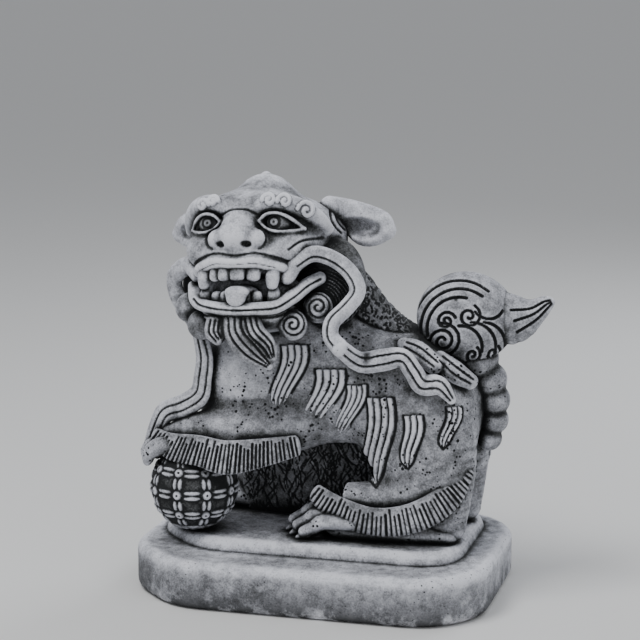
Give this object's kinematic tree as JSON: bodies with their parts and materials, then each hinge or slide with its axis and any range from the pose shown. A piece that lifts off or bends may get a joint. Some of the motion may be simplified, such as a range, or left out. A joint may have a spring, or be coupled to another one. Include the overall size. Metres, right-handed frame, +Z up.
{
  "type": "guardian lion statue",
  "caption": "Cast-stone guardian lion on a stepped plinth, its head turned to the side and its raised paw on an embroidered ball",
  "frame": {"origin": "centre of the plinth's underside", "axes": "+X towards the tail, -Y the display side that the face looks to, +Z up"},
  "size_m": [0.2581, 0.166, 0.2648],
  "materials": {
    "plinth": "pale weathered cast stone, dark stain along its lower edge",
    "ball": "cast stone with raised embroidery, black wash between the bosses",
    "body_stone": "grey cast stone with casting pinholes and a dark wash in the creases",
    "head_stone": "pale worn cast stone, black wash in the creases",
    "teeth": "pale cast stone, black wash between the teeth",
    "eyes": "cast stone darkened by the wash, slightly smoother",
    "carved_hair": "carved strands, worn pale on the ridges and black in the grooves",
    "dark_hair": "shallow carved hair, mostly covered by the dark wash",
    "ribbon": "smooth cast stone, worn nearly white"
  },
  "bodies": {
    "root": {"back_mane": "dark_hair", "ball": "ball", "beard": "carved_hair", "belly_web": "dark_hair", "brow_left": "head_stone", "brow_right": "head_stone", "cheek_hair_left": "dark_hair", "cheek_hair_right": "dark_hair", "crown_knob": "head_stone", "ear_left": "head_stone", "ear_right": "head_stone", "eye_left": "eyes", "eye_right": "eyes", "front_frill_left": "carved_hair", "front_frill_right": "carved_hair", "front_leg_left": "body_stone", "front_leg_right": "body_stone", "front_paw_left": "body_stone", "front_paw_right": "body_stone", "head": "head_stone", "hind_frill_left": "carved_hair", "hind_frill_right": "carved_hair", "hind_leg_left": "body_stone", "hind_leg_right": "body_stone", "hind_paw_left": "body_stone", "hind_paw_right": "body_stone", "jaw_curl_left": "carved_hair", "jaw_curl_right": "carved_hair", "lower_fang_left": "teeth", "lower_fang_right": "teeth", "lower_jaw": "head_stone", "lower_teeth": "teeth", "mane_lock_left_1": "carved_hair", "mane_lock_left_2": "carved_hair", "mane_lock_left_3": "carved_hair", "mane_lock_left_4": "carved_hair", "mane_lock_left_5": "carved_hair", "mane_lock_right_1": "carved_hair", "mane_lock_right_2": "carved_hair", "mane_lock_right_3": "carved_hair", "mane_lock_right_4": "carved_hair", "mane_lock_right_5": "carved_hair", "nose": "head_stone", "plinth": "plinth", "plinth_step": "plinth", "ribbon_left_loop": "ribbon", "ribbon_left_tail": "ribbon", "ribbon_right_loop": "ribbon", "ribbon_right_tail": "ribbon", "rump_fold_front": "body_stone", "rump_fold_rear": "body_stone", "tail_curl": "carved_hair", "tail_stem": "body_stone", "tail_tip": "carved_hair", "tongue": "head_stone", "torso": "body_stone", "upper_fang_left": "teeth", "upper_fang_right": "teeth", "upper_teeth": "teeth"}
  },
  "joints": []
}
